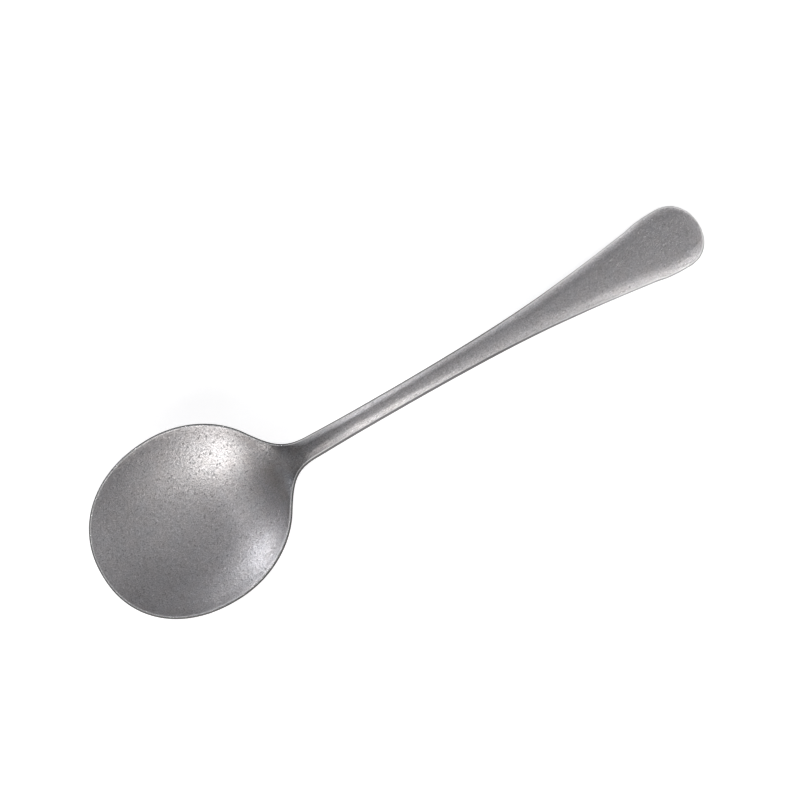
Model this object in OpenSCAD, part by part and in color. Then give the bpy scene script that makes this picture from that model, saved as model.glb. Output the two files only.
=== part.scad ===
// Round-bowled soup spoon, made from one stamped and forged blank.
// X runs from the bowl's tip to the handle's end, Y across, Z up from the table.
// The origin is on the table, halfway along the spoon.

/* [Overall] */
// Length from the bowl's tip to the handle's end
spoon_len = 177.6; // [150:0.2:210]

/* [Bowl] */
// Width across the rim
bowl_w = 46.6; // [40:0.2:54]
// From the tip back to the widest place
bowl_front = 26.4; // [22:0.1:30]
// From the widest place to where the bowl's oval would close
bowl_back = 25.8; // [22:0.1:30]
// Depth of the hollow below the rim
bowl_depth = 10.2; // [7:0.1:13]
// How far the deepest place lies beyond the widest
bowl_deep_shift = 5; // [0:0.1:7]
// Metal at the bottom of the bowl
bowl_wall = 1.5; // [1:0.1:2.5]
// Metal at the rim
rim_t = 0.9; // [0.6:0.05:1.4]
// How far the tip of the rim lies below its widest place
tip_drop = 3.5; // [0:0.1:6]
// How far the rim at the neck lies above its widest place
neck_rise = 2.5; // [0:0.1:5]

/* [Neck] */
// Length of the fillet between the bowl's oval and the stem
neck_len = 9.5; // [6:0.1:14]
// Extra reach of the bowl's underside below the neck
heel_len = 3.8; // [2:0.1:6]
// Blend between the hollow and the top of the stem
neck_round = 8; // [4:0.1:10]
// Blend between the bowl's back and the underside of the stem
heel_round = 5; // [3:0.1:8]
// Drop from the rim to the stem's side where the rim runs out
shoulder_drop = 1.9; // [1:0.1:2.8]

/* [Handle] */
// Width of the stem at its narrowest
stem_w = 5.64; // [4.6:0.02:8]
// Thickness of the stem at the neck
stem_t = 3.7; // [3.5:0.05:4.5]
// Width of the handle at its end
end_w = 17.36; // [12:0.02:24]
// Thickness of the handle at its end
end_t = 2.4; // [2.1:0.05:3]
// Length of the handle's rounded end
end_round = 8.1; // [6:0.1:12]
// Width over which the stem's top rolls down to each side
stem_roll = 2.7; // [2:0.05:2.8]
// The same at the handle's end
end_roll = 4.5; // [3.5:0.05:5.5]

/* [Surface] */
// Stations along each quarter round, which set how fine the mesh is
round_steps = 14; // [8:1:18]
// Stations along the handle
handle_steps = 22; // [12:1:26]
// Steps from the middle line to the edge
cross_steps = 9; // [5:1:10]
// Steps round the edge
edge_steps = 5; // [3:1:6]

/* [Hidden] */
// Roundness of the bowl's tip and the handle's end, where 2 is an ellipse
end_power = 2.16;
// Slope of the stem's top and underside where they turn into its sides
stem_top_slope = 60;
stem_under_slope = 25;
// The same at the handle's end
end_top_slope = 39;
end_under_slope = 6;
// Share of each surface's rise that is a plain parabola, where the rest is fuller
bowl_dome_share = 0.8;
stem_dome_share = 0.1;
end_dome_share = 0.42;
stem_under_share = 0.67;
end_under_share = 0.45;
// How suddenly the fuller rest of the rise comes
bowl_power = 4;
stem_roll_power = 2;
end_roll_power = 3;
// Share of the steps across, and of the width under them, that lies inside the roll
inner_steps_share = 4 / 9;
inner_width_share = 0.35;
// Angle round the bowl's oval at which the neck fillet leaves it
fillet_turn = 60;
// Reach of the fillet's two handles, as shares of its length along the spoon
fillet_reach_shares = [0.6, 0.5];
// The handle's flare from stem to end, at equal steps along it
flare_shares = [0.035, 0.005, 0, 0.01, 0.043, 0.1, 0.2, 0.362, 0.566, 0.805, 1];
// Height of the handle's edge above its end, at equal steps along it
descent_shares = [1, 0.865, 0.74, 0.625, 0.515, 0.41, 0.31, 0.215, 0.125, 0.045, 0];

half_w = bowl_w / 2;
half_stem = stem_w / 2;
half_end = end_w / 2;
tip_x = -spoon_len / 2;
end_x = spoon_len / 2;
wide_x = tip_x + bowl_front;
close_x = wide_x + bowl_back;
cap_x = end_x - end_round;
fillet_x = wide_x + bowl_back * sin(fillet_turn);
stem_x = close_x + neck_len;
rim_r = rim_t / 2;

function mix(a, b, share) = a + (b - a) * share;
function part_of(x, from, to) = max(0, min(1, (x - from) / (to - from)));
function eased(share) = share * share * (3 - 2 * share);

// Rise across a surface from its middle to its edge, and its slope at the edge:
// a share of it is a parabola, and the rest comes with a power beyond a flat middle
function rise(share, dome, flat, power) =
    dome * pow(share, 2) + (1 - dome) * pow(max(0, (abs(share) - flat) / (1 - flat)), power);
function edge_rate(dome, flat, power) = 2 * dome + (1 - dome) * power / (1 - flat);

// The larger of two heights, with a rounded change from one to the other
function soft_max(a, b, blend) =
    max(a, b) + pow(max(0, 1 - abs(a - b) / blend), 3) * blend / 6;

// A smooth curve through equally spaced shares, straight before its start and level at its end
function curve(shares, share) =
    let (last = len(shares) - 1)
    let (i = max(0, min(floor(share * last), last - 1)))
    let (f = share * last - i)
    let (b = shares[i])
    let (c = shares[i + 1])
    let (a = i == 0 ? 2 * b - c : shares[i - 1])
    let (d = shares[i + 2 > last ? last - 1 : i + 2])
    share < 0 ? b + f * (c - b)
    : b + f * ((c - a) / 2 + f * (a - 2.5 * b + 2 * c - d / 2 + f * (1.5 * (b - c) + (d - a) / 2)));

// Plan outline of one side, from the tip to the handle's end
function bowl_tip(turn) = [
    wide_x - bowl_front * pow(cos(turn), 2 / end_power),
    half_w * pow(sin(turn), 2 / end_power)
];
function bowl_rear(turn) = [wide_x + bowl_back * sin(turn), half_w * cos(turn)];
function handle_side(x) =
    [x, mix(half_stem, half_end, curve(flare_shares, part_of(x, stem_x, cap_x)))];
function handle_end(turn) = [
    cap_x + end_round * pow(sin(turn), 2 / end_power),
    half_end * pow(cos(turn), 2 / end_power)
];
fillet_start = bowl_rear(fillet_turn);
fillet_end = handle_side(stem_x);
fillet_span = stem_x - fillet_x;
fillet_lean = [bowl_back * cos(fillet_turn), -half_w * sin(fillet_turn)];
fillet_out = fillet_start + fillet_reach_shares[0] * fillet_span * fillet_lean / norm(fillet_lean);
fillet_in = fillet_end - [fillet_reach_shares[1] * fillet_span, 0];
function neck_fillet(t) =
    pow(1 - t, 3) * fillet_start + 3 * t * pow(1 - t, 2) * fillet_out
    + 3 * pow(t, 2) * (1 - t) * fillet_in + pow(t, 3) * fillet_end;

outline = [
    for (i = [0:round_steps]) bowl_tip(90 * i / round_steps),
    for (i = [1:round_steps - 1]) bowl_rear(fillet_turn * i / (round_steps - 1)),
    for (i = [1:round_steps]) neck_fillet(i / round_steps),
    for (i = [1:handle_steps]) handle_side(mix(stem_x, cap_x, i / handle_steps)),
    for (i = [1:round_steps]) handle_end(90 * i / round_steps)
];
last = len(outline) - 1;
normals = [
    for (i = [0:last])
        let (way = outline[min(i + 1, last)] - outline[max(i - 1, 0)])
        i == 0 ? [-1, 0] : i == last ? [1, 0] : [-way[1], way[0]] / norm(way)
];

// How far a place is past the bowl, and along the handle
function past_bowl(x) = eased(part_of(x, fillet_x, stem_x));
function along(x) = part_of(x, stem_x, end_x);

// Slopes with which the hollow and the bowl's back rise to the rim
deep_x = wide_x + bowl_deep_shift;
deep_front = bowl_front + bowl_deep_shift;
deep_rear = bowl_back - bowl_deep_shift;
bowl_rate = edge_rate(bowl_dome_share, 0, bowl_power);
bowl_slope = atan(bowl_rate * bowl_depth / (deep_front - rim_t));
back_depth = bowl_depth + bowl_wall - rim_t * cos(bowl_slope);
back_slope = atan(bowl_rate * back_depth / deep_front);

// Slopes of the handle's top and underside at its sides, and the shapes of their rises
function handle_up(x) = mix(stem_top_slope, end_top_slope, along(x));
function handle_down(x) = mix(stem_under_slope, end_under_slope, along(x));
function handle_half(x) = handle_side(min(x, cap_x))[1];
function handle_dome(x) = mix(stem_dome_share, end_dome_share, along(x));
function handle_flat(x) = max(0, 1 - mix(stem_roll, end_roll, along(x)) / handle_half(x));
function handle_under(x) = mix(stem_under_share, end_under_share, along(x));
function handle_power(x) = mix(stem_roll_power, end_roll_power, along(x));
function up_rate(x) = edge_rate(handle_dome(x), handle_flat(x), handle_power(x));
function down_rate(x) = edge_rate(handle_under(x), 0, bowl_power);

// Radius of the handle's edge that gives the handle its thickness there
function handle_edge_r(x) =
    let (up = handle_up(x))
    let (down = handle_down(x))
    let (climb = tan(up) / up_rate(x))
    let (fall = tan(down) / down_rate(x))
    (mix(stem_t, end_t, along(x)) - handle_half(x) * (climb + fall))
    / (cos(up) + cos(down) - climb * (1 - sin(up)) - fall * (1 - sin(down)));

// Rise of the handle's dome and fall of its underside, from the edge to the middle line
function swell(x, slope, rate) =
    tan(slope) * (handle_half(x) - handle_edge_r(x) * (1 - sin(slope))) / rate;
function crown(x) =
    let (h = max(x, stem_x))
    let (fade = rise(part_of(h, cap_x, end_x), handle_dome(h), handle_flat(h), handle_power(h)))
    swell(h, handle_up(h), up_rate(h)) * (1 - fade) * pow(past_bowl(x), 2);
function belly(x) =
    let (h = max(x, stem_x))
    let (fade = rise(part_of(h, cap_x, end_x), handle_under(h), 0, bowl_power))
    swell(h, handle_down(h), down_rate(h)) * (1 - fade);

// Values that pass from the bowl's to the handle's over the neck
function edge_r(x) = mix(rim_r, handle_edge_r(max(x, stem_x)), past_bowl(x));
function top_dome(x) = mix(bowl_dome_share, handle_dome(x), past_bowl(x));
function top_flat(x) = handle_flat(max(x, stem_x)) * past_bowl(x);
function top_power(x) = mix(bowl_power, handle_power(x), past_bowl(x));
function under_dome(x) = mix(bowl_dome_share, handle_under(x), past_bowl(x));
function usual_top(x) = mix(bowl_slope, -handle_up(x), past_bowl(x));
function usual_under(x) = mix(back_slope, handle_down(x), past_bowl(x));

// Depth of the hollow and of the bowl's back below the edge, along the middle line
rim_in = rim_r * (1 + sin(bowl_slope));
rim_out = rim_r * (1 - sin(back_slope));
function hollow(x, depth, front, rear) =
    depth * (1 - rise((x - deep_x) / (x < deep_x ? front : rear), bowl_dome_share, 0, bowl_power));
function top_drop(x) =
    let (h = hollow(x, bowl_depth, deep_front - rim_in, deep_rear - rim_in))
    x < deep_x ? h : x > stem_x ? -crown(x) : soft_max(h, -crown(x), neck_round);
function under_drop(x) =
    let (h = hollow(x, back_depth, deep_front - rim_out, deep_rear + heel_len))
    x < deep_x ? h : x > stem_x ? belly(x) : soft_max(h, belly(x), heel_round);

// Slope with which a surface of this depth meets the edge, square to the outline
function meeting(p, n, usual, rate, inset, drop) =
    p[1] == 0 || p[0] > cap_x ? usual
    : atan(rate * drop / ((p[1] - inset * n[1]) * n[1]));
function top_slope(p, n) =
    let (usual = usual_top(p[0]))
    let (rate = edge_rate(top_dome(p[0]), top_flat(p[0]), top_power(p[0])))
    let (inset = edge_r(p[0]) * (1 + sin(usual)))
    meeting(p, n, usual, rate, inset, top_drop(p[0] - inset * n[0]));
function under_slope(p, n) =
    let (usual = usual_under(p[0]))
    let (rate = edge_rate(under_dome(p[0]), 0, bowl_power))
    let (inset = edge_r(p[0]) * (1 - sin(usual)))
    meeting(p, n, usual, rate, inset, under_drop(p[0] - inset * n[0]));

// Height of the edge's middle: the rim's line over the bowl, the handle's line beyond it
rim_bend = (neck_rise / bowl_back - tip_drop / bowl_front) / (bowl_front + bowl_back);
rim_tilt = tip_drop / bowl_front + rim_bend * bowl_front;
function rim_line(x) = (x - wide_x) * (rim_tilt + rim_bend * (x - wide_x));
function edge_to_under(x) = edge_r(x) * cos(usual_under(x));
bowl_z = max([
    for (p = outline) if (p[0] < fillet_x)
        under_drop(p[0]) + edge_to_under(p[0]) - rim_line(p[0])
]);
neck_z = bowl_z + rim_line(close_x) - shoulder_drop;
function handle_share(x) = curve(descent_shares, min(1, (x - stem_x) / (end_x - stem_x)));
end_z = max([
    for (p = outline) if (p[0] > cap_x - end_round)
        (belly(p[0]) + edge_to_under(p[0]) - neck_z * handle_share(p[0])) / (1 - handle_share(p[0]))
]);
function edge_z(x) =
    mix(bowl_z + rim_line(x), mix(end_z, neck_z, handle_share(x)), past_bowl(x));

// Steps across: the same number on the flat middle and on the roll, whatever their widths
function spread_step(step, split) =
    mix(split * part_of(step, 0, inner_steps_share), 1, part_of(step, inner_steps_share, 1));

// Half a cross-section at one station, from the top's middle round the edge to the underside's
function edge_point(p, n, turn) =
    let (r = edge_r(p[0]))
    let (plan = p + n * r * (cos(turn) - 1))
    [plan[0], plan[1], edge_z(p[0]) + r * sin(turn)];
function half_section(p, n) =
    let (from = 90 + top_slope(p, n))
    let (to = under_slope(p, n) - 90)
    let (top = edge_point(p, n, from))
    let (under = edge_point(p, n, to))
    let (dome = top_dome(p[0]))
    let (flat = top_flat(p[0]))
    let (power = top_power(p[0]))
    let (low_dome = under_dome(p[0]))
    let (split = mix(inner_steps_share, max(flat, inner_width_share), past_bowl(p[0])))
    let (spread = [for (j = [0:cross_steps - 1]) spread_step(j / cross_steps, split)])
    [
        for (v = spread)
            [top[0], top[1] * v, top[2] - top_drop(top[0]) * (1 - rise(v, dome, flat, power))],
        for (j = [0:edge_steps]) edge_point(p, n, mix(from, to, j / edge_steps)),
        for (j = [cross_steps - 1:-1:0])
            let (v = spread[j])
            [under[0], under[1] * v, under[2] - under_drop(under[0]) * (1 - rise(v, low_dome, 0, bowl_power))]
    ];

half_count = 2 * cross_steps + edge_steps + 1;
ring_count = 2 * (half_count - 1);
cap_count = edge_steps + 1;
sections = [for (i = [1:last - 1]) half_section(outline[i], normals[i])];
function cap_points(i) = [
    for (j = [0:edge_steps])
        let (p = outline[i])
        edge_point(p, normals[i], mix(90 + usual_top(p[0]), usual_under(p[0]) - 90, j / edge_steps))
];
points = [
    each cap_points(0),
    for (half = sections) each [
        each half,
        for (j = [half_count - 2:-1:1]) [half[j][0], -half[j][1], half[j][2]]
    ],
    each cap_points(last)
];

// Both ends of the spoon close on the few points of their own edge
function cap_step(j) = max(0, min(edge_steps, min(j, ring_count - j) - cross_steps));
function index(i, j) =
    let (k = j % ring_count)
    i == 0 ? cap_step(k)
    : i == last ? cap_count + (last - 1) * ring_count + cap_step(k)
    : cap_count + (i - 1) * ring_count + k;
faces = [
    for (i = [0:last - 1], j = [0:ring_count - 1])
        let (a = index(i, j))
        let (b = index(i, j + 1))
        let (c = index(i + 1, j + 1))
        let (d = index(i + 1, j))
        each [if (a != b) [a, b, c], if (c != d) [a, c, d]]
];

module spoon() {
    color([0.55, 0.54, 0.53]) polyhedron(points, faces);
}

spoon();
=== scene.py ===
from math import cos, pi, radians, sin
import bpy
from mathutils import Matrix, Vector


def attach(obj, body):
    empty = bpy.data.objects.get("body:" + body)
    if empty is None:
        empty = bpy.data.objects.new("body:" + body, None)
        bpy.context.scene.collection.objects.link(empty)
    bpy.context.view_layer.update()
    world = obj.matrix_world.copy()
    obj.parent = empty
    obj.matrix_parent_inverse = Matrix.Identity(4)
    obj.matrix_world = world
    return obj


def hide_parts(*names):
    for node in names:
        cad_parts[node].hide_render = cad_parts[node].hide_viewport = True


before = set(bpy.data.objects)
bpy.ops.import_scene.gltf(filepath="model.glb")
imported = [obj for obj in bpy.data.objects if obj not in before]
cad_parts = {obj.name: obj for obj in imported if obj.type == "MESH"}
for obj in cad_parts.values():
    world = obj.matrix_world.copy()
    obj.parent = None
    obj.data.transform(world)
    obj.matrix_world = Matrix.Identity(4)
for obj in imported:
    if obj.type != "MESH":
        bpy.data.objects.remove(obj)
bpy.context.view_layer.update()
scene = bpy.context.scene
scene.view_settings.view_transform = "Standard"


# Camera, at the photograph's viewing angle
cameraView = {
    "height angle": 79.36,     # degrees above the table
    "turn": -31.54,            # degrees round from the front
    "roll": 0.065,             # degrees
    "looks at": (-0.00202, -0.00071, 0.008),
    "distance": 0.7,
    "lens": 124.6,             # millimetres, for a sensor of the next width
    "sensor": 36,
    "nearest": 0.01,           # metres, where the camera starts to see
}


def placeCamera(view):
    height, turn, roll = (radians(view[key]) for key in ("height angle", "turn", "roll"))
    back = Vector((sin(turn) * cos(height), -cos(turn) * cos(height), sin(height)))
    level = Vector((cos(turn), sin(turn), 0))
    upright = back.cross(level)
    right = level * cos(roll) + upright * sin(roll)
    up = upright * cos(roll) - level * sin(roll)
    data = bpy.data.cameras.new("photoCamera")
    data.lens = view["lens"]
    data.sensor_width = view["sensor"]
    data.clip_start = view["nearest"]
    camera = bpy.data.objects.new("photoCamera", data)
    camera.matrix_world = Matrix((
        (right.x, up.x, back.x, 0), (right.y, up.y, back.y, 0),
        (right.z, up.z, back.z, 0), (0, 0, 0, 1)))
    camera.location = Vector(view["looks at"]) + back * view["distance"]
    scene.collection.objects.link(camera)
    scene.camera = camera


placeCamera(cameraView)
print("camera placed")


# Node building: a Quantity is a socket that formulas can be written with
class Quantity:
    def __init__(self, socket):
        self.socket = socket

    def __add__(self, other):
        return mathOf("ADD", self, other)

    def __radd__(self, other):
        return mathOf("ADD", other, self)

    def __sub__(self, other):
        return mathOf("SUBTRACT", self, other)

    def __rsub__(self, other):
        return mathOf("SUBTRACT", other, self)

    def __mul__(self, other):
        return mathOf("MULTIPLY", self, other)

    def __rmul__(self, other):
        return mathOf("MULTIPLY", other, self)

    def __truediv__(self, other):
        return mathOf("DIVIDE", self, other)

    def __rtruediv__(self, other):
        return mathOf("DIVIDE", other, self)

    def __pow__(self, other):
        return mathOf("POWER", self, other)

    def __neg__(self):
        return mathOf("MULTIPLY", self, -1)


nodeRows, nodeWidth, nodeHeight = 12, 220, 170  # how the nodes of a tree are laid out


class Bench:  # the tree being built, its current frame and the nodes made so far
    tree = None
    area = None
    made = {}
    placed = 0


def openBench(tree):
    Bench.tree, Bench.area, Bench.made, Bench.placed = tree, None, {}, 0


def openArea(label):
    Bench.area = Bench.tree.nodes.new("NodeFrame")
    Bench.area.label = label


def addNode(kind, settings=None, **links):
    node = Bench.tree.nodes.new(kind)
    node.parent = Bench.area
    column, row = divmod(Bench.placed, nodeRows)
    node.location = (nodeWidth * column, -nodeHeight * row)
    Bench.placed += 1
    for key, value in (settings or {}).items():
        setattr(node, key, value)
    for name, value in links.items():  # Vertices_X stands for the socket Vertices X
        connect(node.inputs[name.replace("_", " ")], value)
    return node


def resultOf(kind, settings=None, **links):
    return addNode(kind, settings, **links).outputs[0]


def connect(socket, value):
    if isinstance(value, Quantity):
        value = value.socket
    if isinstance(value, bpy.types.NodeSocket):
        Bench.tree.links.new(value, socket)
    else:
        socket.default_value = value


def mathOf(operation, *values, clamp=False):
    sources = tuple(v.socket.as_pointer() if isinstance(v, Quantity) else v for v in values)
    key = (operation, clamp) + sources
    if key not in Bench.made:
        node = addNode("ShaderNodeMath", {"operation": operation, "use_clamp": clamp})
        for socket, value in zip(node.inputs, values):
            connect(socket, value)
        Bench.made[key] = Quantity(node.outputs[0])
    return Bench.made[key]


def sinOf(x):
    return mathOf("SINE", x)


def cosOf(x):
    return mathOf("COSINE", x)


def tanOf(x):
    return mathOf("TANGENT", x)


def arctanOf(x):
    return mathOf("ARCTANGENT", x)


def rootOf(x):
    return mathOf("SQRT", x)


def absOf(x):
    return mathOf("ABSOLUTE", x)


def maxOf(a, b):
    return mathOf("MAXIMUM", a, b)


def minOf(a, b):
    return mathOf("MINIMUM", a, b)


def vectorOf(x, y, z=0.0):
    return resultOf("ShaderNodeCombineXYZ", X=x, Y=y, Z=z)


def partsOf(vector):
    node = addNode("ShaderNodeSeparateXYZ", Vector=vector)
    return [Quantity(socket) for socket in node.outputs]


def mixOf(a, b, share):
    return a + (b - a) * share


def shareOf(x, start, end):
    return mathOf("DIVIDE", x - start, end - start, clamp=True)


# Spoon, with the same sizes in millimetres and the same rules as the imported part
spoonSizes = {
    "Spoon length": 177.6,
    "Bowl width": 46.6,
    "Bowl front": 26.4,          # tip to widest place
    "Bowl back": 25.8,           # widest place to where the oval would close
    "Bowl depth": 10.2,
    "Deepest place": 5.0,        # beyond the widest place
    "Bowl wall": 1.5,
    "Rim thickness": 0.9,
    "Tip drop": 3.5,
    "Neck rise": 2.5,
    "Neck length": 9.5,
    "Heel length": 3.8,
    "Neck blend": 8.0,
    "Heel blend": 5.0,
    "Shoulder drop": 1.9,
    "Stem width": 5.64,
    "Stem thickness": 3.7,
    "End width": 17.36,
    "End thickness": 2.4,
    "End round": 8.1,
    "End power": 2.16,           # 2 is an ellipse
    "Stem top slope": 60.0,      # degrees where the dome meets the edge
    "Stem under slope": 25.0,
    "End top slope": 39.0,
    "End under slope": 6.0,
    "Stem roll": 2.7,            # width over which the top rolls down to each side
    "End roll": 4.5,
    "Stem roll power": 2.0,      # 1 is a flat bevel with a sharp corner
    "End roll power": 3.0,
    "Bowl power": 4.0,
    "Bowl dome": 0.8,            # share of the profile that is a plain parabola
    "Stem dome": 0.1,
    "End dome": 0.42,
    "Stem under dome": 0.67,
    "End under dome": 0.45,
    "Fillet turn": 60.0,
    "Fillet reach out": 0.6,
    "Fillet reach in": 0.5,
    "Steps per quarter": 48,     # whole numbers are numbers of steps
    "Steps along handle": 110,
    "Steps across": 28,
    "Steps round edge": 12,
}
handleCurves = {  # values at equal steps from the stem to the end
    "Handle flare": [0.035, 0.005, 0, 0.01, 0.043, 0.1, 0.2, 0.362, 0.566, 0.805, 1],
    "Handle descent": [1, 0.865, 0.74, 0.625, 0.515, 0.41, 0.31, 0.215, 0.125, 0.045, 0],
}


def handleCurve(name, share):
    node = addNode("ShaderNodeFloatCurve", {"label": name}, Value=share)
    values = handleCurves[name]
    last = len(values) - 1
    mapping = node.mapping
    mapping.use_clip = False
    mapping.extend = "EXTRAPOLATED"
    points = mapping.curves[0].points
    points[0].location = (0, values[0])
    points[1].location = (1 + 1 / last, values[last - 1])  # mirrored, so the curve ends level
    for i in range(1, last + 1):
        points.new(i / last, values[i])
    mapping.update()
    return Quantity(node.outputs[0])


def buildSpoonTree():
    tree = bpy.data.node_groups.new("spoonShape", "GeometryNodeTree")
    newSocket = tree.interface.new_socket
    for name, value in spoonSizes.items():
        kind = "NodeSocketInt" if isinstance(value, int) else "NodeSocketFloat"
        newSocket(name=name, in_out="INPUT", socket_type=kind).default_value = value
    newSocket(name="Material", in_out="INPUT", socket_type="NodeSocketMaterial")
    newSocket(name="Geometry", in_out="OUTPUT", socket_type="NodeSocketGeometry")
    openBench(tree)
    given = addNode("NodeGroupInput")
    size = {socket.name: Quantity(socket) for socket in given.outputs
            if socket.name in spoonSizes}

    openArea("Main places along the spoon")
    slopeOf = {name: size[name] * (pi / 180) for name in (
        "Stem top slope", "Stem under slope", "End top slope", "End under slope", "Fillet turn")}
    halfWidth = size["Bowl width"] / 2
    halfStem = size["Stem width"] / 2
    halfEnd = size["End width"] / 2
    front, rear = size["Bowl front"], size["Bowl back"]
    endX = size["Spoon length"] / 2
    wideX = front - endX
    closeX = wideX + rear
    capX = endX - size["End round"]
    filletX = wideX + rear * sinOf(slopeOf["Fillet turn"])
    stemX = closeX + size["Neck length"]
    roundPower = 2 / size["End power"]

    openArea("Stations on the plan outline")
    steps, handleSteps = size["Steps per quarter"], size["Steps along handle"]
    lastStation = steps * 4 + handleSteps
    line = resultOf("GeometryNodeMeshLine", Count=lastStation + 1)
    place = Quantity(resultOf("GeometryNodeInputIndex"))
    tipTurn = shareOf(place, 0, steps) * (pi / 2)
    rearTurn = shareOf(place, steps, steps * 2) * slopeOf["Fillet turn"]
    fillet = shareOf(place, steps * 2, steps * 3)
    handle = shareOf(place, steps * 3, steps * 3 + handleSteps)
    endTurn = shareOf(place, steps * 3 + handleSteps, lastStation) * (pi / 2)
    isFirst = mathOf("LESS_THAN", place, 0.5)
    isLast = mathOf("GREATER_THAN", place, lastStation - 0.5)
    isEnd = isFirst + isLast

    flareStart = handleCurve("Handle flare", 0.0)
    startX, startY = filletX, halfWidth * cosOf(slopeOf["Fillet turn"])
    stemY = mixOf(halfStem, halfEnd, flareStart)
    span = stemX - filletX
    leanX = rear * cosOf(slopeOf["Fillet turn"])
    leanY = halfWidth * sinOf(slopeOf["Fillet turn"]) * -1
    reach = size["Fillet reach out"] * span / rootOf(leanX * leanX + leanY * leanY)
    filletXs = (startX, startX + leanX * reach, stemX - size["Fillet reach in"] * span, stemX)
    filletYs = (startY, startY + leanY * reach, stemY, stemY)
    left = 1 - fillet
    weights = (left ** 3, fillet * left * left * 3, fillet * fillet * left * 3, fillet ** 3)

    def bezier(a, b, c, d):
        return a * weights[0] + b * weights[1] + c * weights[2] + d * weights[3]

    outlineX = (wideX - front * cosOf(tipTurn) ** roundPower
                + rear * sinOf(rearTurn)
                + bezier(*filletXs) - startX
                + handle * (capX - stemX)
                + size["End round"] * sinOf(endTurn) ** roundPower)
    outlineY = (halfWidth * sinOf(tipTurn) ** roundPower
                + halfWidth * (cosOf(rearTurn) - 1)
                + bezier(*filletYs) - startY
                + (halfEnd - halfStem) * (handleCurve("Handle flare", handle) - flareStart)
                + halfEnd * (cosOf(endTurn) ** roundPower - 1))
    outlineY = outlineY * (1 - isEnd)  # both poles on the middle line
    stations = resultOf("GeometryNodeSetPosition",
                        Geometry=line, Position=vectorOf(outlineX, outlineY))

    openArea("Direction square to the outline")
    position = resultOf("GeometryNodeInputPosition")
    planX, planY = partsOf(position)[:2]

    def neighbour(index):
        return partsOf(resultOf("GeometryNodeFieldAtIndex", {"data_type": "FLOAT_VECTOR"},
                                Index=index, Value=position))[:2]

    nextX, nextY = neighbour(minOf(place + 1, lastStation))
    priorX, priorY = neighbour(maxOf(place - 1, 0))
    wayX, wayY = nextX - priorX, nextY - priorY
    wayLength = rootOf(wayX * wayX + wayY * wayY)
    outX = mixOf(-wayY / wayLength, isLast - isFirst, isEnd)
    outY = wayX / wayLength * (1 - isEnd)

    openArea("Rules for the bowl and the handle")
    bowlDome, bowlPower = size["Bowl dome"], size["Bowl power"]

    def edgeRate(dome, flat, power):
        return dome * 2 + (1 - dome) * power / (1 - flat)

    def profile(share, dome, flat, power):
        ramp = maxOf((absOf(share) - flat) / (1 - flat), 0)
        return dome * share * share + (1 - dome) * ramp ** power

    def softMax(a, b, blend):
        near = maxOf(1 - absOf(a - b) / blend, 0)
        return maxOf(a, b) + near ** 3 * blend / 6

    def pastBowl(x):
        share = shareOf(x, filletX, stemX)
        return share * share * (3 - share * 2)

    def handleWidth(x):
        return mixOf(halfStem, halfEnd, handleCurve("Handle flare", shareOf(x, stemX, capX)))

    def handleRules(x):
        beyond = maxOf(x, stemX)
        along = shareOf(beyond, stemX, endX)
        up = mixOf(slopeOf["Stem top slope"], slopeOf["End top slope"], along)
        down = mixOf(slopeOf["Stem under slope"], slopeOf["End under slope"], along)
        half = handleWidth(beyond)
        flat = maxOf(1 - mixOf(size["Stem roll"], size["End roll"], along) / half, 0)
        dome = mixOf(size["Stem dome"], size["End dome"], along)
        underDome = mixOf(size["Stem under dome"], size["End under dome"], along)
        power = mixOf(size["Stem roll power"], size["End roll power"], along)
        rate = edgeRate(dome, flat, power)
        underRate = edgeRate(underDome, 0, bowlPower)
        tanUp, tanDown = tanOf(up), tanOf(down)
        cutUp, cutDown = 1 - sinOf(up), 1 - sinOf(down)
        thickness = mixOf(size["Stem thickness"], size["End thickness"], along)
        spare = thickness - half * (tanUp / rate + tanDown / underRate)
        radius = spare / (cosOf(up) + cosOf(down)
                          - tanUp * cutUp / rate - tanDown * cutDown / underRate)
        capShare = shareOf(beyond, capX, endX)
        topFade = 1 - profile(capShare, dome, flat, power)
        underFade = 1 - profile(capShare, underDome, 0, bowlPower)
        crown = tanUp * (half - radius * cutUp) / rate * topFade * pastBowl(x) ** 2
        belly = tanDown * (half - radius * cutDown) / underRate * underFade
        return {"up": up, "down": down, "dome": dome, "under dome": underDome, "flat": flat,
                "power": power, "radius": radius, "crown": crown, "belly": belly}

    bowlRate = edgeRate(bowlDome, 0, bowlPower)
    rimRadius = size["Rim thickness"] / 2
    deepX = wideX + size["Deepest place"]
    deepFront, deepRear = front + size["Deepest place"], rear - size["Deepest place"]
    bowlSlope = arctanOf(bowlRate * size["Bowl depth"] / (deepFront - size["Rim thickness"]))
    backDepth = size["Bowl depth"] + size["Bowl wall"] - size["Rim thickness"] * cosOf(bowlSlope)
    backSlope = arctanOf(bowlRate * backDepth / deepFront)
    rimIn = rimRadius * (1 + sinOf(bowlSlope))
    rimOut = rimRadius * (1 - sinOf(backSlope))
    here = handleRules(planX)
    past = pastBowl(planX)
    edgeRadius = mixOf(rimRadius, here["radius"], past)
    topDome = mixOf(bowlDome, here["dome"], past)
    underDome = mixOf(bowlDome, here["under dome"], past)
    topFlat = here["flat"] * past
    topPower = mixOf(bowlPower, here["power"], past)
    usualTop = mixOf(bowlSlope, -here["up"], past)
    usualUnder = mixOf(backSlope, here["down"], past)

    def dropOf(x, depth, frontLength, rearLength, handleDrop, blend):
        before = mathOf("LESS_THAN", x, deepX)
        beyond = mathOf("GREATER_THAN", x, stemX)
        share = (x - deepX) / mixOf(rearLength, frontLength, before)
        hollow = depth * (1 - profile(share, bowlDome, 0, bowlPower))
        blended = mixOf(softMax(hollow, handleDrop, blend), handleDrop, beyond)
        return mixOf(blended, hollow, before)

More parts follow.
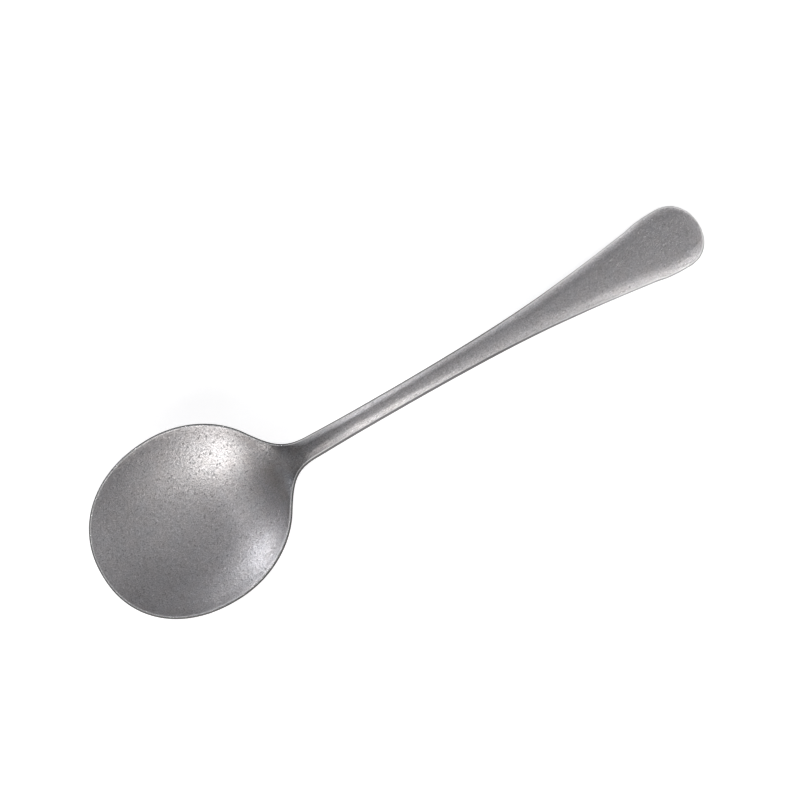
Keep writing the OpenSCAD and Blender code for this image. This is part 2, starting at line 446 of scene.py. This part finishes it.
    def topDrop(x):
        return dropOf(x, size["Bowl depth"], deepFront - rimIn, deepRear - rimIn,
                      -handleRules(x)["crown"], size["Neck blend"])

    def underDrop(x):
        return dropOf(x, backDepth, deepFront - rimOut, deepRear + size["Heel length"],
                      handleRules(x)["belly"], size["Heel blend"])

    openArea("Slopes where the top and the underside meet the edge")
    turnsEnd = maxOf(isFirst, mathOf("GREATER_THAN", planX, capX))

    def meeting(usualSlope, rate, inset, dropAt):
        slope = arctanOf(rate * dropAt(planX - inset * outX) / ((planY - inset * outY) * outY))
        return mixOf(slope, usualSlope, turnsEnd)

    topInset = edgeRadius * (1 + sinOf(usualTop))
    underInset = edgeRadius * (1 - sinOf(usualUnder))
    topRate = edgeRate(topDome, topFlat, topPower)
    underRate = edgeRate(underDome, 0, bowlPower)
    topTurn = meeting(usualTop, topRate, topInset, topDrop) + pi / 2
    underTurn = meeting(usualUnder, underRate, underInset, underDrop) - pi / 2
    topX = planX + outX * edgeRadius * (cosOf(topTurn) - 1)
    underX = planX + outX * edgeRadius * (cosOf(underTurn) - 1)
    inner = 1 - isEnd  # both ends close on their own edge
    topDepth = topDrop(topX) * inner
    underDepth = underDrop(underX) * inner

    openArea("Height of the edge, so that bowl and handle rest on the table")

    def highest(value, chosen):
        node = addNode("GeometryNodeAttributeStatistic",
                       Geometry=stations, Selection=chosen, Attribute=value)
        return Quantity(node.outputs["Max"])

    rimBend = (size["Neck rise"] / rear - size["Tip drop"] / front) / (front + rear)
    rimTilt = size["Tip drop"] / front + rimBend * front

    def rimLine(x):
        return (x - wideX) * (rimTilt + rimBend * (x - wideX))

    edgeToUnder = edgeRadius * cosOf(usualUnder)
    bowlZ = highest(underDrop(planX) + edgeToUnder - rimLine(planX),
                    mathOf("LESS_THAN", planX, filletX))
    neckZ = bowlZ + rimLine(closeX) - size["Shoulder drop"]
    handleShare = handleCurve("Handle descent", minOf((planX - stemX) / (endX - stemX), 1))
    endZ = highest((here["belly"] + edgeToUnder - neckZ * handleShare) / (1 - handleShare),
                   mathOf("GREATER_THAN", planX, capX - size["End round"]))
    edgeZ = mixOf(bowlZ + rimLine(planX), mixOf(endZ, neckZ, handleShare), past)

    openArea("Surface from the top's middle round the edge to the underside's")
    across, roundEdge = size["Steps across"], size["Steps round edge"]
    halfCount = across * 2 + roundEdge + 1
    grid = resultOf("GeometryNodeMeshGrid", Vertices_X=lastStation + 1, Vertices_Y=halfCount)
    number = Quantity(resultOf("GeometryNodeInputIndex"))
    station = mathOf("FLOOR", (number + 0.5) / halfCount)
    ring = number - station * halfCount

    def sampled(x, y, z=0.0):
        return partsOf(resultOf("GeometryNodeSampleIndex", {"data_type": "FLOAT_VECTOR"},
                                Geometry=stations, Value=vectorOf(x, y, z), Index=station))

    edgeX, edgeY, edgeHeight = sampled(planX, planY, edgeZ)
    sideX, sideY, radius = sampled(outX, outY, edgeRadius)
    turnFrom, turnTo, topWeight = sampled(topTurn, underTurn, topDome)
    topFall, underFall, underWeight = sampled(topDepth, underDepth, underDome)
    flat, power, beyondBowl = sampled(topFlat, topPower, past)
    flatSteps, leastFlat = 0.4, 0.35  # the flat's share of the steps, least share of the width
    split = mixOf(flatSteps, maxOf(flat, leastFlat), beyondBowl)

    def spread(share):
        return mixOf(split * shareOf(share, 0, flatSteps), 1, shareOf(share, flatSteps, 1))

    topShare = spread(shareOf(ring, 0, across))
    turn = mixOf(turnFrom, turnTo, shareOf(ring, across, across + roundEdge))
    underShare = spread(1 - shareOf(ring, across + roundEdge, across * 2 + roundEdge))
    inward = radius * (cosOf(turn) - 1)
    surface = vectorOf(
        edgeX + sideX * inward,
        (edgeY + sideY * inward) * topShare * underShare,
        edgeHeight + radius * sinOf(turn)
        - topFall * (1 - profile(topShare, topWeight, flat, power))
        - underFall * (1 - profile(underShare, underWeight, 0, bowlPower)))
    shaped = resultOf("GeometryNodeSetPosition", Geometry=grid, Position=surface)
    # How far inwards from the outline each point lies, in millimetres, for the finish
    gap = edgeY * sideY * (1 - topShare * underShare) - inward
    nearHalf = resultOf("GeometryNodeStoreNamedAttribute",
                        {"domain": "POINT", "data_type": "FLOAT"},
                        Geometry=shaped, Name="edgeGap", Value=gap)

    openArea("Other half, seam and poles closed, and material")
    mergeDistance, toMetres = 0.001, 0.001
    mirrored = resultOf("GeometryNodeTransform", Geometry=nearHalf, Scale=(1, -1, 1))
    farHalf = resultOf("GeometryNodeFlipFaces", Mesh=mirrored)
    both = addNode("GeometryNodeJoinGeometry")
    Bench.tree.links.new(farHalf, both.inputs[0])
    Bench.tree.links.new(nearHalf, both.inputs[0])
    closed = resultOf("GeometryNodeMergeByDistance",
                      Geometry=both.outputs[0], Distance=mergeDistance)
    scaled = resultOf("GeometryNodeTransform", Geometry=closed, Scale=(toMetres,) * 3)
    smooth = resultOf("GeometryNodeSetShadeSmooth", Geometry=scaled)
    real = resultOf("GeometryNodeRealizeInstances", Geometry=smooth)
    finished = resultOf("GeometryNodeSetMaterial",
                        Geometry=real, Material=given.outputs["Material"])
    result = addNode("NodeGroupOutput")
    tree.links.new(finished, result.inputs[0])
    return tree


def makeSpoon(material):
    piece = bpy.data.objects.new("steelSpoon", bpy.data.meshes.new("steelSpoon"))
    scene.collection.objects.link(piece)
    modifier = piece.modifiers.new("spoonShape", "NODES")
    tree = buildSpoonTree()
    modifier.node_group = tree
    chosen = {**spoonSizes, "Material": material}
    for item in tree.interface.items_tree:
        if item.in_out == "INPUT":
            modifier[item.identifier] = chosen[item.name]
    bpy.context.view_layer.update()
    evaluated = piece.evaluated_get(bpy.context.evaluated_depsgraph_get())
    whole = bpy.data.meshes.new_from_object(evaluated)
    piece.modifiers.remove(modifier)
    piece.data = whole
    print("spoon surface:", len(whole.polygons), "faces,", len(tree.nodes), "nodes in its tree")
    return piece


# Tumbled stainless steel: fine dark pits, bright flecks and soft clouding, with painted shade on
# the neck, a painted highlight on edges polished by wear, and a painted dark outline
steelFinish = {  # sizes in millimetres
    "colour": (0.505, 0.492, 0.501),
    "roughness": 0.385,
    "painted neck shade colour": 0.35,         # painted shade on the top of the neck: share of the colour that is left there
    "neck": (-52.0, -39.0, -31.0, -15.0),  # where the painted neck shade runs, from none to full and back to none
    "painted neck shade lean": 0.5,            # how far the painted shade's start leans over on the far side
    "handle end": (25.0, 60.0),  # where the edges change from the stem's to the end's
    "edge colour": 0.78,         # polished by wear, and brighter than the steel as a painted highlight on the top side
    "edge roughness": 0.25,
    "edge width": 0.7,
    "edge strengths": (1.0, 0.5, 0.7),  # round the bowl, at the stem and at the handle's end
    "painted dark outline colour": 0.07,     # painted dark outline: a near-black, non-metal outermost line that stands in for shadowed surroundings reflected at the edge
    "painted dark outline widths": (0.41, 0.6, 0.22),  # at the same three places
    "painted dark outline strengths": (0.97, 0.82, 0.68),
    "edge fade": 0.7,            # share of each width where the fading starts
    "top side": (-0.2, 0.1),     # upward part of the surface's direction, from none to full
    "painted dark outline side": (-0.25, 0.0),
    "painted dark outline gloss": 0.1,
    # Size, detail and roughness of each noise, and how strongly it shows
    "grain": {"noise": (0.3, 2.0, 0.6), "colour": 1.4, "relief": 1.2},
    "mottle": {"noise": (1.0, 3.0, 0.65), "colour": 0.25, "relief": 0.7, "roughness": 0.15},
    "cloud": {"noise": (10.0, 3.0, 0.6), "colour": 0.22},
    "tint": {"noise": (3.2, 2.0, 0.5), "colour": 0.03, "balance": (1.0, 0.0, -0.8)},
    # Bright curling lines between the grains
    "veins": {"noise": (1.0, 3.0, 0.6), "width": 0.05, "colour": 0.16, "relief": 0.3},
    "pits": {"noise": (0.52, 3.0, 0.75), "range": (0.58, 0.69), "clustering": 0.25,
             "colour": 0.32, "relief": 1.0, "roughness": 0.15},
    "flecks": {"size": 0.58, "chosen": (0.65, 1.0), "radius": (0.1, 0.42), "raggedness": 0.5,
               "colour": 0.6, "relief": 0.4, "roughness": 0.12},
    "relief strength": 0.75,
    "relief depth": 0.00008,     # in metres
}


def makeSteel(finish):
    steel = bpy.data.materials.new("tumbledSteel")
    steel.use_nodes = True
    tree = steel.node_tree
    tree.nodes.clear()
    openBench(tree)

    openArea("Place on the spoon, in millimetres")
    inMetres = addNode("ShaderNodeTexCoord").outputs["Object"]
    spot = addNode("ShaderNodeVectorMath", {"operation": "SCALE"})
    tree.links.new(inMetres, spot.inputs[0])
    spot.inputs["Scale"].default_value = 1000
    spot = spot.outputs[0]
    x, y = partsOf(spot)[:2]
    gap = Quantity(addNode("ShaderNodeAttribute", {"attribute_name": "edgeGap"}).outputs["Fac"])
    facing = partsOf(addNode("ShaderNodeTexCoord").outputs["Normal"])[2]

    def noise(name):
        size, detail, roughness = finish[name]["noise"]
        node = addNode("ShaderNodeTexNoise",
                       Vector=spot, Scale=1 / size, Detail=detail, Roughness=roughness)
        return Quantity(node.outputs["Fac"])

    openArea("Grain, clouding, veins, pits and flecks")
    grain, mottle, cloud = (noise(name) - 0.5 for name in ("grain", "mottle", "cloud"))
    veins = 1 - shareOf(absOf(noise("veins") - 0.5), 0.0, finish["veins"]["width"])
    pits = shareOf(noise("pits") - mottle * finish["pits"]["clustering"], *finish["pits"]["range"])
    cells = addNode("ShaderNodeTexVoronoi", {"feature": "F1"},
                    Vector=spot, Scale=1 / finish["flecks"]["size"], Randomness=1.0)
    reach = Quantity(cells.outputs["Distance"]) + grain * finish["flecks"]["raggedness"]
    flecks = (shareOf(partsOf(cells.outputs["Color"])[1], *finish["flecks"]["chosen"])
              * (1 - shareOf(reach, *finish["flecks"]["radius"])))

    # Painted neck shade, wear-polished edges with a painted highlight, and a painted dark outline
    openArea("Neck, worn edges and cut edge")
    enter, full, leave, past = finish["neck"]
    onTop = shareOf(facing, *finish["top side"])
    # Painted shade: the top of the neck is darkened in the colour, with its start leaning over on
    # one side, where the light leaves it dark
    leaned = x - maxOf(y, 0) * finish["painted neck shade lean"]
    neck = shareOf(leaned, enter, full) * (1 - shareOf(x, leave, past))
    paintedNeckShade = 1 - neck * onTop * (1 - finish["painted neck shade colour"])
    toStem, toEnd = shareOf(x, full, past), shareOf(x, *finish["handle end"])
    wornAndHighlightStrength, paintedOutlineWidth, paintedOutlineStrength = (
        mixOf(mixOf(bowl, stem, toStem), end, toEnd) for bowl, stem, end in (
            finish["edge strengths"], finish["painted dark outline widths"], finish["painted dark outline strengths"]))

    def nearEdge(width):
        return 1 - shareOf(gap, width * finish["edge fade"], width)

    # Edges polished by wear get a lower roughness, and a brighter colour on the top side that is
    # partly a painted highlight
    wornEdgeAndHighlight = nearEdge(finish["edge width"]) * onTop * wornAndHighlightStrength
    # Painted shadow reflection: a dark line round the edge, except on the underside
    paintedDarkOutline = nearEdge(paintedOutlineWidth) * shareOf(facing, *finish["painted dark outline side"]) * paintedOutlineStrength

    def shown(mark, name, way):
        return mark * finish[name][way]

    openArea("Colour, roughness and relief")
    speckle = (1 + shown(grain, "grain", "colour") + shown(mottle, "mottle", "colour")
               + shown(cloud, "cloud", "colour") - shown(pits, "pits", "colour")
               + shown(veins, "veins", "colour") + shown(flecks, "flecks", "colour"))
    tint = shown(noise("tint") - 0.5, "tint", "colour")
    colour = addNode("ShaderNodeCombineColor")
    for socket, part, sign in zip(colour.inputs, finish["colour"], finish["tint"]["balance"]):
        base = mixOf(part * speckle * paintedNeckShade + tint * sign, finish["edge colour"], wornEdgeAndHighlight)
        connect(socket, mixOf(base, finish["painted dark outline colour"], paintedDarkOutline))
    roughness = (finish["roughness"] + shown(pits, "pits", "roughness")
                 - shown(flecks, "flecks", "roughness") + shown(mottle, "mottle", "roughness"))
    relief = (shown(grain, "grain", "relief") + shown(mottle, "mottle", "relief")
              - shown(pits, "pits", "relief") - shown(veins, "veins", "relief")
              + shown(flecks, "flecks", "relief"))
    bump = resultOf("ShaderNodeBump", Strength=finish["relief strength"],
                    Distance=finish["relief depth"], Height=relief)

    shader = addNode("ShaderNodeBsdfPrincipled", Normal=bump,
                     Roughness=mixOf(roughness, finish["edge roughness"], wornEdgeAndHighlight))
    # The painted dark outline is not metal, so that it stays dark
    connect(shader.inputs["Metallic"], 1 - paintedDarkOutline)
    shader.inputs["Specular IOR Level"].default_value = finish["painted dark outline gloss"]
    tree.links.new(colour.outputs[0], shader.inputs["Base Color"])
    output = addNode("ShaderNodeOutputMaterial")
    tree.links.new(shader.outputs[0], output.inputs["Surface"])
    return steel


steel = makeSteel(steelFinish)
spoon = makeSpoon(steel)
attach(spoon, "root")
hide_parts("spoon")
print("spoon made")


# White table and plain soft studio light
studio = {
    "table reach": 3.0,          # in metres, each way
    "table colour": 0.8,
    "table lift": 0.59,          # brings the lit table to white for the camera
    "surroundings": (0.279, 0.279, 0.286),
}
warm, cool = (1.0, 0.978, 0.945), (0.955, 0.97, 1.0)
slightlyWarm, slightlyCool = (1.0, 0.985, 0.96), (0.97, 0.98, 1.0)
usualLamp = {"aim": (-0.062, 0.0, 0.01), "distance": 1.0, "spread": 180}
softLights = [  # places and sizes in metres, turns, heights and spreads in degrees
    {"name": "keyLow", "turn": -141, "height": 9, "size": (0.34, 0.24),
     "brightness": 4.76, "colour": warm},
    {"name": "keyWide", "turn": -156, "height": 18, "size": (0.3, 0.3),
     "brightness": 6.46, "colour": warm},
    {"name": "keyMiddle", "turn": -137, "height": 33, "size": (0.32, 0.3),
     "brightness": 4.48, "colour": warm},
    {"name": "keyHigh", "turn": -126, "height": 47, "size": (0.44, 0.34),
     "brightness": 2.95, "colour": warm},
    {"name": "sideLow", "turn": 118, "height": 5, "size": (0.2, 0.16),
     "brightness": 26.4, "colour": cool},
    {"name": "sideHigh", "turn": 118, "height": 18, "size": (0.2, 0.16),
     "brightness": 8.97, "colour": cool},
    {"name": "backFill", "turn": 155, "height": 36, "size": (0.45, 0.7),
     "brightness": 1.02, "colour": (0.99, 0.99, 1.0)},
    {"name": "frontFill", "turn": -15, "height": 28, "size": (1.1, 0.55),
     "brightness": 0.4, "colour": (1.0, 0.995, 0.99)},
    {"name": "topLight", "turn": 0, "height": 82, "size": (0.4, 0.4),
     "brightness": 0.733, "colour": (1.0, 1.0, 1.0)},
    # Narrow strips close to the handle
    {"name": "endLow", "aim": (0.076, 0.0, 0.01), "turn": -90, "height": 32, "distance": 0.2,
     "size": (0.08, 0.12), "spread": 26, "brightness": 0.11, "colour": slightlyWarm},
    {"name": "endHigh", "aim": (0.062, 0.0, 0.01), "turn": -90, "height": 66, "distance": 0.25,
     "size": (0.08, 0.12), "spread": 26, "brightness": 0.035, "colour": slightlyWarm},
    {"name": "endCorner", "aim": (0.084, -0.004, 0.01), "turn": -60, "height": 32, "distance": 0.2,
     "size": (0.05, 0.05), "spread": 20, "brightness": 0.2, "colour": slightlyWarm},
    {"name": "farLow", "aim": (0.074, 0.0, 0.01), "turn": 90, "height": 14, "distance": 0.25,
     "size": (0.06, 0.06), "spread": 24, "brightness": 0.069, "colour": slightlyCool},
    {"name": "neckLow", "aim": (-0.008, 0.0, 0.01), "turn": -92, "height": 20, "distance": 0.15,
     "size": (0.05, 0.08), "spread": 24, "brightness": 0.36, "colour": slightlyWarm},
    {"name": "neckFar", "aim": (-0.008, 0.0, 0.01), "turn": 90, "height": 8, "distance": 0.1,
     "size": (0.03, 0.025), "spread": 22, "brightness": 0.14, "colour": slightlyCool},
]


def makeTable(values):
    mesh = bpy.data.meshes.new("table")
    reach = values["table reach"]
    corners = [(-reach, -reach, 0), (reach, -reach, 0), (reach, reach, 0), (-reach, reach, 0)]
    mesh.from_pydata(corners, [], [(0, 1, 2, 3)])
    table = bpy.data.objects.new("table", mesh)
    scene.collection.objects.link(table)
    paper = bpy.data.materials.new("whiteTable")
    paper.use_nodes = True
    tree = paper.node_tree
    tree.nodes.clear()
    openBench(tree)
    shade = values["table colour"]
    diffuse = resultOf("ShaderNodeBsdfDiffuse", Color=(shade, shade, shade, 1))
    glow = addNode("ShaderNodeEmission")
    path = addNode("ShaderNodeLightPath")
    camera, glossy, through = (Quantity(path.outputs[name]) for name in (
        "Is Camera Ray", "Is Glossy Ray", "Is Transmission Ray"))
    seen = maxOf(maxOf(camera, glossy), through)
    connect(glow.inputs["Strength"], seen * values["table lift"])
    total = addNode("ShaderNodeAddShader")
    tree.links.new(diffuse, total.inputs[0])
    tree.links.new(glow.outputs[0], total.inputs[1])
    output = addNode("ShaderNodeOutputMaterial")
    tree.links.new(total.outputs[0], output.inputs["Surface"])
    mesh.materials.append(paper)


def makeLights(lights):
    for light in ({**usualLamp, **own} for own in lights):
        turn, height = radians(light["turn"]), radians(light["height"])
        towards = Vector((cos(turn) * cos(height), sin(turn) * cos(height), sin(height)))
        data = bpy.data.lights.new(light["name"], "AREA")
        data.shape = "RECTANGLE"
        data.size, data.size_y = light["size"]
        data.spread = radians(light["spread"])
        data.energy = light["brightness"] * pi * data.size * data.size_y
        data.color = light["colour"]
        lamp = bpy.data.objects.new(light["name"], data)
        lamp.location = Vector(light["aim"]) + towards * light["distance"]
        lamp.rotation_euler = towards.to_track_quat("Z", "Y").to_euler()
        scene.collection.objects.link(lamp)


def makeWorld(values):
    world = bpy.data.worlds.new("studio")
    world.use_nodes = True
    background = world.node_tree.nodes["Background"]
    background.inputs["Color"].default_value = (*values["surroundings"], 1)
    scene.world = world


makeTable(studio)
makeLights(softLights)
makeWorld(studio)
print("studio made")
